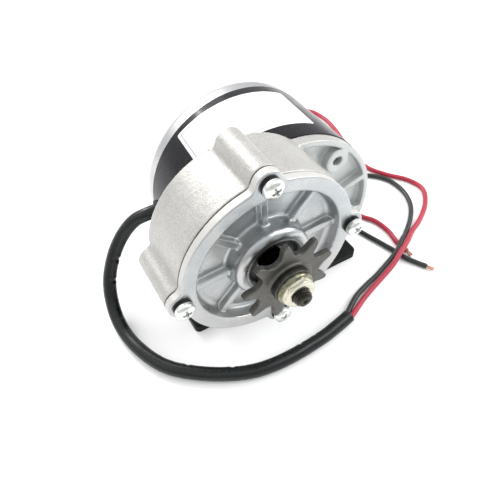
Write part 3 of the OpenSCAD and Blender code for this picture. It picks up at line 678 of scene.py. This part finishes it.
def cover_sdf(x, y, z):
    rO = radial(x, z, *O_)
    body = rmax(outline(x, z), -55.0 - y, 0.75)
    body = rmax(body, y + 51.0, 0.25)
    body = np.minimum(body, np.maximum(rO - 38.2, slab(y, -52.5, -45.5)))
    rec = smax(rO - (34.6 + 0.14 * (-48.2 - y)), y + 48.2, 2.4)
    body = smax(body, -rec, 1.0)
    # ribs with drafted sides
    th = np.arctan2(z - OZ, x - OX) - math.radians(RIB)
    th = (th + math.radians(22.5)) % math.radians(45) - math.radians(22.5)
    u, v = rO * np.cos(th), rO * np.sin(th)
    rib = rmax(np.abs(v) - (1.55 + 0.2 * (y + 51.2)), -51.2 - y, 0.35)
    rib = np.maximum(rib, np.maximum(np.maximum(rO - 36.2, 12 - u), y + 46))
    body = smin(body, rib, 0.7)
    hub = poly2(rO, y, [(0, -46), (19.2, -46), (19.2, -48.6), (18.6, -50.5), (18.1, -54.8), (0, -54.8)])
    hub = np.minimum(hub, np.hypot(rO - 14.9, y + 54.9) - 3.49)
    body = smin(body, hub, 1.3)
    body = np.minimum(body, np.maximum(rO - 20, slab(y, -47.0, -43.0)))
    body = smax(body, -np.maximum(rO - 7.2, slab(y, -60, -52)), 0.5)
    body = np.maximum(body, -np.maximum(rO - 12.7, slab(y, -53.4, -52)))
    body = np.maximum(body, -np.maximum(rO - 16, slab(y, -53, -42)))
    for s in SCREWS:
        rs = radial(x, z, *s)
        body = np.maximum(body, -np.maximum(rs - 2.9, slab(y, -60, -50)))
    return body


def ride(ob, body, mat, replaces=()):
    paint(ob, mats[mat])
    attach(ob, body)
    if replaces:
        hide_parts(*replaces)
    return ob


def merge(name, obs):
    for o in scene.objects:
        o.select_set(False)
    for o in obs:
        o.select_set(True)
    bpy.context.view_layer.objects.active = obs[0]
    bpy.ops.object.join()
    obs[0].name = name
    return obs[0]


# ------------------------------------------------------------------ cords first
sleeve_pts = [[-49,20,57],[-57.5,20,57],[-65,22.7,53],[-73.2,24.3,44],[-81.5,22.5,32.5],[-88,17.5,20],
  [-91.2,8.6,9.2],[-91.3,-4.8,3.8],[-87.8,-20.8,3.8],[-80.7,-35.4,3.8],[-70.4,-46.1,3.8],[-55.4,-56.2,3.8],
  [-39,-63,3.8],[-20,-65.1,3.8],[0,-64.2,3.8],[11,-62.5,3.8],[21.5,-60.3,3.8]]
red_pts = [[13.9,-63.4,4.2],[21.8,-61.7,4.3],[35.1,-55.7,4],[45.7,-51.8,4],[54.7,-49,4.4],[65.7,-45.6,5.9],[75.4,-41.2,7.4],
  [85.6,-36.1,6.4],[97.4,-28.8,2.8],[110.6,-22.4,1.7],[124.2,-13,1.7],[133.1,-1.1,1.7],[131,11.7,1.7],
  [121.4,24.9,1.7],[115.3,38.5,1.7],[116.5,57,1.7],[120.5,74,1.7],[124.5,90,1.7],[126,105,1.7],[123,119,1.7],
  [113,128,1.7],[99,129,1.7],[88,119,1.7],[81,104,1.7],[77.5,86,1.7],[76,68,1.7],[76,54,2.4],
  [76,44,5.3],[76,33,5.3],[76.5,20,2],[78.6,1.6,1.7],[84,-8.2,1.7],[85.5,-19.9,1.7],[83.7,-30.2,1.7],[83.8,-39.1,1.7]]
black_pts = [[13.3,-60.4,3.5],[21.2,-58.7,3.4],[33.9,-51.3,2.2],[45,-47.4,1.8],[54.5,-44.9,1.8],[66.1,-41.5,3.6],
  [76.5,-37.8,5.2],[85,-32.5,5.2],[94.6,-26.7,2.2],[106.4,-18,1.7],[115.4,-7.8,1.7],[120.1,5.1,1.7],[118.9,19,1.7],
  [110.7,29.8,1.7],[99,37,1.7],[87,39,1.7],[76,37,1.7],[68.5,28,1.7],[66,15,1.7],[66.9,-0.8,1.7],
  [70.3,-12.9,1.7],[74.3,-25.4,1.7],[77.3,-35.3,1.7],[79.6,-43.9,1.7],[85.6,-54.9,1.7]]
rng = np.random.default_rng(7)


def waves(n, amp):
    """A slow random wave along and round a tube."""
    ph = rng.uniform(0, 2 * np.pi, n); k = rng.uniform(0.03, 0.35, n); m = rng.integers(0, 4, n)
    return lambda s, a: amp * sum(math.cos(k[i] * s + m[i] * a + ph[i]) for i in range(n)) / math.sqrt(n)


R_sl, s_sl = resample(catmull(sleeve_pts, 12), 0.9)
w_sl = waves(6, 0.045)
# kinks where the soft sleeve folds a little on the inside of its bends: place along it, width, depth, way round
T_, U_, V_ = frames(R_sl)


def near(p):
    return s_sl[np.argmin(np.linalg.norm(R_sl - np.array(p), axis=1))]


kinks = []
for p_, wd, dp in (((-81, 22.8, 33.4), 1.5, 0.55), ((-86.5, 18.8, 22), 1.3, 0.5), ((-91, 3, 6), 1.5, 0.35), ((-72, -45, 3.8), 1.4, 0.45),
                   ((-52, -58, 3.8), 1.4, 0.5), ((-12, -65, 3.8), 1.3, 0.45), ((-2, -64.5, 3.8), 1.2, 0.35)):
    s0 = near(p_)
    i = int(np.argmin(np.abs(s_sl - s0)))
    a_, b_ = max(i - 12, 0), min(i + 12, len(R_sl) - 1)
    inward = (R_sl[a_] + R_sl[b_]) / 2 - R_sl[i]
    phi = math.atan2(inward @ V_[i], inward @ U_[i])
    kinks.append((s0, wd, dp, phi))


def r_sleeve(s, a):
    r = 3.72 + w_sl(s, a)
    for s0, wd, dp, phi in kinks:
        t = (s - s0) / wd
        if abs(t) < 3:
            c = max(0.0, math.cos(a - phi))
            r += dp * c * c * (-math.exp(-t * t * 2.2) + 0.35 * math.exp(-(abs(t) - 1.5) ** 2 * 3))
    return r


sleeve = sweep("sleeve", R_sl, r_sleeve, 28, inner=3.28, depth=9.0)
ride(sleeve, "housing", "sleeve", ["lead_sleeve"])

leads = {}
for key, pts, mat_, slot_, node_ in (("lead_red_wire", red_pts, "red", "red_pvc", "lead_red"), ("lead_black_wire", black_pts, "black", "black_pvc", "lead_black")):
    R_, s_ = resample(catmull(pts, 10), 0.9)
    w_ = waves(5, 0.02)
    ob = sweep(key, R_, lambda s, a, w=w_: 1.6 + w(s, a), 18)
    ride(ob, "housing", mat_, [node_])
    leads[key] = (ob, R_, s_)


def strands(name, R_, n=15, length=4.6, fray=0.5):
    """Twisted bare wires out of a lead's end."""
    t0 = (R_[-1] - R_[-3]); t0 /= np.linalg.norm(t0)
    u = np.cross([0, 0, 1.0], t0); u /= np.linalg.norm(u); v = np.cross(t0, u)
    obs = []
    for i in range(n):
        ring_, k = (0.0, 0) if i == 0 else ((0.42, i) if i < 6 else (0.82, i))
        a0 = 2 * np.pi * k / (5 if i < 6 else n - 6) + rng.uniform(-0.15, 0.15)
        ln = length * rng.uniform(0.82, 1.0)
        fr = fray * rng.uniform(0.1, 1.0)
        P = []
        for t in np.linspace(-1.2, ln, 14):
            f_ = max(0.0, t / ln)
            r_ = ring_ * (1 - 0.15 * f_) + fr * f_ ** 2.2
            a_ = a0 + t * 0.42
            p = R_[-1] + t0 * t + u * r_ * math.cos(a_) + v * r_ * math.sin(a_)
            p[2] = max(p[2] - 0.25 * f_ ** 2, 0.25)
            P.append(p)
        obs.append(sweep(name + str(i), np.array(P), lambda s, a: 0.17, 7))
    return merge(name, obs)


st_red = ride(strands("strands_red", leads["lead_red_wire"][1], 15, 4.5, 0.9), "housing", "strand", ["lead_strands"])
st_blk = ride(strands("strands_black", leads["lead_black_wire"][1], 15, 4.6, 0.35), "housing", "strand", ["lead_strands"])
for key, st in (("lead_red_wire", st_red), ("lead_black_wire", st_blk)):
    ob, R_, s_ = leads[key]

# ------------------------------------------------------------------ gear housing and cover
case = net("gear_housing", case_sdf, (-76.9, -51.2, 5.6), (51.6, -17.0, 126.4), 0.62)
ride(case, "housing", "case", ["gear_case"])
cover = net("gear_cover", cover_sdf, (-76.8, -59.0, 27.8), (21.8, -42.5, 126.4), 0.4)
ride(cover, "housing", "cover", ["case_cover"])

# ------------------------------------------------------------------ cover screws and their washers
SCREW_TURN = (20, 38, 64, 5)


def screw_sdf(cx, cz, turn):
    c, s = math.cos(math.radians(turn)), math.sin(math.radians(turn))

    def f(x, y, z):
        r = radial(x, z, cx, cz)
        head = rmax(r - 4.4, slab(y, -60, -56.4), 0.25)
        head = smax(head, np.sqrt(r * r + (y + 53.31) ** 2) - 6.69, 0.6)
        p, q_ = (x - cx) * c + (z - cz) * s, -(x - cx) * s + (z - cz) * c
        dy = y + 60
        cut = None
        for a, b in ((p, q_), (q_, p)):
            k = smax(np.abs(a) - (2.5 - 0.55 * dy), np.abs(b) - (0.56 - 0.14 * dy), 0.3)
            cut = k if cut is None else smin(cut, k, 0.35)
        cut = np.maximum(cut, dy - 1.7)
        head = smax(head, -cut, 0.3)
        shank = np.maximum(r - 2.4, slab(y, -57, -34))
        return np.minimum(head, shank)
    return f


obs = [net("s%d" % i, screw_sdf(sx, sz, SCREW_TURN[i]), (sx - 5, -60.3, sz - 5), (sx + 5, -33.5, sz + 5), 0.2, 0.5) for i, (sx, sz) in enumerate(SCREWS)]
ride(merge("cover_screw_set", obs), "housing", "zinc", ["cover_screws"])


def washer_sdf(cx, cz, turn):
    c, s = math.cos(math.radians(turn)), math.sin(math.radians(turn))

    def f(x, y, z):
        r = radial(x, z, cx, cz)
        p, q_ = (x - cx) * c + (z - cz) * s, -(x - cx) * s + (z - cz) * c
        d = rmax(np.abs(r - 3.625) - 0.775, slab(y, -56.4, -55), 0.2)
        gap = np.maximum(np.abs(q_ + 0.5 * (y + 55.7)) - 0.35, -p)
        return np.maximum(d, -gap)
    return f


obs = [net("w%d" % i, washer_sdf(sx, sz, 20 + 77 * i), (sx - 4.8, -56.7, sz - 4.8), (sx + 4.8, -54.7, sz + 4.8), 0.2, 0.4) for i, (sx, sz) in enumerate(SCREWS)]
ride(merge("spring_washers", obs), "housing", "black_ox", ["screw_washers"])

# ------------------------------------------------------------------ can, cap, bolts, foot, label, grommet
can = lathe("motor_tube", rounded([(51, -21.5), (51, 26.5), (47.6, 26.5), (47.6, -21.5)], 0.35, 4), 256, A_)
ride(can, "housing", "can", ["motor_can"])


def cap_sdf(x, y, z):
    rA = radial(x, z, *A_)
    d = poly2(rA, y, [(0, 37.5), (11, 37.5), (11, 30.5), (15.5, 30.5), (15.5, 33.8), (44.6, 33.8), (45.4, 33), (45.4, 25), (47.55, 25),
                      (47.55, 26.5), (50.5, 26.5), (50.5, 32.2), (49.9, 34.2), (48.3, 35.8), (46, 36.6), (40, 37), (18, 37), (16.6, 37.6),
                      (15.8, 39.2), (14.6, 40), (0, 40)])
    d = d + 0.0
    for b in BOLTS:
        d = np.minimum(d, np.maximum(np.maximum(radial(x, z, *b) - 6, slab(y, 29.9, 35)), rA - 46))
    for a in (0, 180):
        d = np.minimum(d, np.maximum(radial(x, z, *polar(32, a, A_)) - 3.4, slab(y, 29.6, 35)))
    for b in BOLTS:
        rb = radial(x, z, *b)
        d = smax(d, -np.maximum(rb - 2.6, slab(y, 28, 37)), 0.2)
        d = smax(d, -np.maximum(rb - 5.2, slab(y, 35.2, 42)), 0.5)
    for a in (0, 180):
        d = np.maximum(d, -np.maximum(radial(x, z, *polar(32, a, A_)) - 1.3, slab(y, 28, 34)))
    return d


cap = net("end_cap", cap_sdf, (-51.2, 24.4, 5.8), (51.2, 40.6, 108.2), 0.55)
ride(cap, "housing", "cap", ["rear_cap"])


def bolt_sdf(cx, cz, turn):
    c, s = math.cos(math.radians(turn)), math.sin(math.radians(turn))

    def f(x, y, z):
        r = radial(x, z, cx, cz)
        head = smax(rmax(r - 4.5, slab(y, 35.2, 38.6), 0.3), np.sqrt(r * r + (y - 31.2) ** 2) - 7.5, 0.5)
        q_ = -(x - cx) * s + (z - cz) * c
        head = smax(head, -np.maximum(np.abs(q_) - 0.6, 37.4 - y), 0.15)
        ph = (y / 0.8 + np.arctan2(z - cz, x - cx) / (2 * np.pi)) % 1.0
        thr = 0.22 * np.abs(2 * ph - 1) * (y < -12)
        return np.minimum(head, smax((r - 2.5 + thr) * 0.85, slab(y, -24.6, 36), 0.3))
    return f


obs = [net("b%d" % i, bolt_sdf(bx, bz, 30 + 50 * i), (bx - 4.9, -24.9, bz - 4.9), (bx + 4.9, 38.9, bz + 4.9), 0.25, 0.5) for i, (bx, bz) in enumerate(BOLTS)]
ride(merge("through_bolt_set", obs), "housing", "bolt", ["through_bolts"])


def foot_sdf(x, y, z):
    d2 = rmax(np.abs(x + 0.8) - 55.5, np.abs(y) - 25, 3.0)
    d = rmax(d2, slab(z, 0, 6), 0.7)
    for sx in (-1, 1):
        for sy in (-1, 1):
            d = smax(d, -(np.hypot(x - sx * 38, y - sy * 15) - 2.5), 0.3)
    bar = np.maximum(np.maximum(np.abs(np.abs(x) - 24.5) - 4.5, np.abs(y) - 19.5), slab(z, 3, 17)) + 0.0 * x
    d = smin(d, bar, 1.5)
    d = np.maximum(d, slab(z, 0, 18))
    return np.maximum(d, 51.02 - radial(x, z, *A_))


foot = net("foot_plate", foot_sdf, (-56.9, -25.6, -0.6), (55.3, 25.6, 17.6), 0.6)
ride(foot, "housing", "foot", ["foot_bracket"])


def label_sheet():
    y0, y1, a0, a1, R = -10.7, 21.3, 62.9, 132.2, 1.2
    ct, st = math.cos(LBL_TILT), math.sin(LBL_TILT)
    ys = np.concatenate([y0 + R * (1 - np.cos(np.linspace(0, np.pi / 2, 7))), np.linspace(y0 + R, y1 - R, 30)[1:-1], y1 - R * (1 - np.cos(np.linspace(np.pi / 2, 0, 7)))])
    n = 110
    v, rows = [], []
    for rad in (51.16, 50.98):
        for y in ys:
            dy = min(y - y0, y1 - y)
            inset = 0.0 if dy >= R else R - math.sqrt(max(0.0, R * R - (R - dy) ** 2))
            da = math.degrees(inset / 51)
            for a in np.linspace(a0 + da, a1 - da, n):
                s_, w_ = 51 * math.radians(a - LBL_A), y - 5.3
                t, y_ = math.radians(LBL_A) + (s_ * ct - w_ * st) / 51, 5.3 + w_ * ct + s_ * st
                lift = 0.02 * math.sin(a * 0.9) * math.sin(y * 0.5) if rad > 51.1 else 0
                v.append(((rad + lift) * math.cos(t), y_, MZ + (rad + lift) * math.sin(t)))
    m = len(ys); f = []
    for i in range(m - 1):
        for j in range(n - 1):
            f.append((i * n + j, i * n + j + 1, (i + 1) * n + j + 1, (i + 1) * n + j))
            b = m * n
            f.append((b + i * n + j, b + (i + 1) * n + j, b + (i + 1) * n + j + 1, b + i * n + j + 1))
    edge_ = [(0, j) for j in range(n)] + [(i, n - 1) for i in range(1, m)] + [(m - 1, j) for j in reversed(range(n - 1))] + [(i, 0) for i in reversed(range(1, m - 1))]
    for k in range(len(edge_)):
        (i, j), (i2, j2) = edge_[k], edge_[(k + 1) % len(edge_)]
        f.append((i * n + j, m * n + i * n + j, m * n + i2 * n + j2, i2 * n + j2))
    me = mesh_from("label", v, f)
    bm = bmesh.new(); bm.from_mesh(me); bmesh.ops.recalc_face_normals(bm, faces=bm.faces); bm.to_mesh(me); bm.free()
    return link("label", me)


ride(label_sheet(), "housing", "label", ["rating_label"])


def grommet_sdf(x, y, z):
    r = np.hypot(y - 20, z - MZ)
    a = -x
    d = rmax(r - 5.38, slab(a, 47, 52.18), 0.5)
    d = np.maximum(d, 51.03 - radial(x, z, *A_))
    neck = np.maximum(r - 4.55, slab(a, 46.3, 52))
    d = np.minimum(d, neck)
    return smax(d, 3.76 - r, 0.3)


gr = net("lead_exit", grommet_sdf, (-52.6, 14.2, 51.2), (-45.9, 25.8, 62.8), 0.2, 0.6)
ride(gr, "housing", "grommet", ["lead_grommet"])

# ------------------------------------------------------------------ sprocket, nut, shaft
PITCH_R = 12.7 / (2 * math.sin(math.radians(20)))


def sprocket_sdf(x, y, z):
    r = radial(x, z, *O_)
    th = np.arctan2(z - OZ, x - OX) - math.radians(94.8 + 20)
    th = (th + math.radians(20)) % math.radians(40) - math.radians(20)
    u, v = r * np.cos(th), r * np.sin(th)
    gap = poly2(u, v, [(16.8, -3.53), (18.2, -4.35), (19.4, -5.35), (20.5, -6.45), (21.8, -7.7), (24, -8.4), (24, 8.4), (21.8, 7.7), (20.5, 6.45), (19.4, 5.35), (18.2, 4.35), (16.8, 3.53)])
    gap = np.minimum(gap, np.hypot(u - PITCH_R, v) - 3.95)
    d2 = smax(r - 21.6, -gap, 0.9)
    d = rmax(d2, slab(y, -68.6, -65.6), 0.4)
    d = smin(d, rcyl(r - 10.6, y, -69.4, -66, 0.45), 0.7)
    bore = np.maximum(np.maximum(r - 5.05, np.abs(x - OX) - 4.05), slab(y, -72, -60))
    return np.maximum(d, -bore)


sp = net("sprocket", sprocket_sdf, (OX - 22.0, -69.7, OZ - 22.0), (OX + 22.0, -65.2, OZ + 22.0), 0.3, 0.8)
ride(sp, "output", "sprocket", ["chain_sprocket"])

wash = lathe("nut_washer", rounded([(8.9, -69.4), (8.9, -72), (4.1, -72), (4.1, -69.4)], 0.3, 3), 96, O_)
ride(wash, "output", "washer", ["sprocket_washer"])


def nut_sdf(x, y, z):
    r = radial(x, z, *O_)
    fl = poly2(r, y, [(0, -72.1), (8.25, -72.1), (8.25, -73.1), (8.0, -73.5), (6.5, -74.3), (0, -74.3)]) - 0.12
    hexd = None
    for k in range(3):
        a = math.radians(42 + 60 * k)
        p = np.abs((x - OX) * math.cos(a) + (z - OZ) * math.sin(a)) - 6.5
        hexd = p if hexd is None else smax(hexd, p, 0.35)
    hexd = rmax(hexd, slab(y, -77, -72.5), 0.3)
    hexd = smax(hexd, (r - 6.4) * 0.58 + (-77 - y) * 0.81, 0.4)
    d = smin(fl, hexd, 0.9)
    ph = (y / 1.25 + np.arctan2(z - OZ, x - OX) / (2 * np.pi)) % 1.0
    hole = r - 4.02 - 0.8 * np.clip(-76.5 - y, 0, 0.5)
    return smax(d, -hole, 0.2)


nut = net("flange_nut", nut_sdf, (OX - 8.7, -77.3, OZ - 8.7), (OX + 8.7, -71.7, OZ + 8.7), 0.2, 0.6)
ride(nut, "output", "nut", ["sprocket_nut"])


def thread_sdf(x, y, z):
    r = radial(x, z, *O_)
    ph = (y / 1.25 - np.arctan2(z - OZ, x - OX) / (2 * np.pi)) % 1.0
    t = np.clip(np.abs(2 * ph - 1) * 1.5 - 0.25, 0, 1)
    tip = np.clip((-79.0 - y) / 1.3, 0, 1)
    d = (r - (3.42 + 0.52 * t) + 0.75 * tip) * 0.8
    d = smax(d, slab(y, -80.3, -68.5), 0.3)
    return smax(d, -(np.sqrt(r * r + (y + 81.3) ** 2) - 1.75), 0.2)


th_ = net("thread", thread_sdf, (OX - 4.3, -80.6, OZ - 4.3), (OX + 4.3, -68.2, OZ + 4.3), 0.15, 0.35)


def shaft_sdf(x, y, z):
    r = radial(x, z, *O_)
    d = rmax(r - 6.0, slab(y, -65.6, -23.3), 0.25)
    d = np.minimum(d, rmax(r - 7.5, slab(y, -43, -31), 0.2))
    d = np.minimum(d, np.maximum(np.maximum(r - 5.0, np.abs(x - OX) - 4.0), slab(y, -69.4, -65)))
    key = np.maximum(np.maximum(np.abs(x - OX) - 2.0, OZ + 5.4 - z), slab(y, -41.5, -32.5))
    return np.maximum(d, -key)


sh_ = net("shaft", shaft_sdf, (OX - 8, -69.7, OZ - 8), (OX + 8, -23.0, OZ + 8), 0.35, 0.6)
ride(merge("output_spindle", [th_, sh_]), "output", "shaft", ["output_shaft"])

# ------------------------------------------------------------------ nodes kept as they are: finishes only
KEEP = {
    "cover_gasket": "gasket", "magnets": "ferrite", "brush_plate": "phenolic", "brush_holders": "brass", "brushes": "carbon",
    "brush_springs": "ground", "brush_screws": "zinc", "bearing_out_front": "seal", "bearing_out_rear": "ground",
    "bearing_arm_front": "ground", "bearing_arm_rear": "ground", "bearing_balls": "ground", "arm_inner_rings": "ground",
    "out_inner_rings": "ground", "armature_shaft": "ground", "core_stack": "core", "core_insulators": "fibre", "windings": "copper",
    "commutator_hub": "phenolic", "commutator_bars": "copper", "output_gear": "gear", "gear_key": "gear", "gear_ring": "black_ox",
}
# the plated finishes on these imported meshes, which have no 'open' attribute, darken them all over with the painted
# hollow shade
for name, key in KEEP.items():
    paint(nodes[name], mats[key])

# ------------------------------------------------------------------ floor, light
bm = bmesh.new()
bmesh.ops.create_grid(bm, x_segments=8, y_segments=8, size=4.0)
me = bpy.data.meshes.new("floor"); bm.to_mesh(me); bm.free()
floor = link("floor", me)
M = Mat("floor", (0.90, 0.90, 0.90), 0.0, 0.7)
M.set("Emission Color", (1.0, 1.0, 1.0, 1)); M.set("Emission Strength", 0.11)
M.set("Base Color", M.mix(M.span(M.noise(3, 3), 0.3, 0.7), (0.885, 0.885, 0.885), (0.915, 0.915, 0.915)))
M.set("Specular IOR Level", 0.2)
paint(floor, M)

world = bpy.data.worlds.new("world")
scene.world = world
world.use_nodes = True
nt = world.node_tree
bg = nt.nodes["Background"]
tc = nt.nodes.new("ShaderNodeTexCoord")
dot = nt.nodes.new("ShaderNodeVectorMath"); dot.operation = "DOT_PRODUCT"
nt.links.new(tc.outputs["Generated"], dot.inputs[0])
d_ = Vector((-0.02, 0.35, 0.93)).normalized(); dot.inputs[1].default_value = d_
rampn = nt.nodes.new("ShaderNodeMapRange"); rampn.interpolation_type = "SMOOTHSTEP"
rampn.inputs["From Min"].default_value = -0.30; rampn.inputs["From Max"].default_value = 0.80
rampn.inputs["To Min"].default_value = 0.49; rampn.inputs["To Max"].default_value = 1.12
nt.links.new(dot.outputs["Value"], rampn.inputs["Value"])
nt.links.new(rampn.outputs["Result"], bg.inputs["Strength"])
bg.inputs["Color"].default_value = (0.98, 0.99, 1.0, 1)


def area(name, loc, target, size, power, color=(1, 1, 1)):
    L = bpy.data.lights.new(name, "AREA"); L.shape = "RECTANGLE"; L.size, L.size_y = size; L.energy = power; L.color = color
    o = bpy.data.objects.new(name, L); scene.collection.objects.link(o)
    o.location = Vector(loc)
    o.rotation_mode = "QUATERNION"
    o.rotation_quaternion = (Vector(target) - Vector(loc)).to_track_quat("-Z", "Y")
    return o


area("key_back", (-0.22, 1.0, 0.95), (0, 0, 0.05), (1.2, 0.8), 6.6, (1.0, 0.985, 0.96))
area("top_left", (-0.9, 0.1, 0.9), (0, 0, 0.05), (0.7, 0.7), 0.6, (1.0, 0.98, 0.95))
area("gleam", (-0.175, 0.951, 0.851), (-0.0189, 0.0245, 0.1044), (0.10, 0.40), 4.4)
area("front_top", (0.45, -0.37, 0.95), (-0.0274, -0.050, 0.077), (0.42, 0.34), 2.3)
area("right_front", (0.83, -0.22, 0.56), (-0.0274, -0.052, 0.085), (0.75, 0.40), 4.2)

scene.view_settings.view_transform = "Standard"
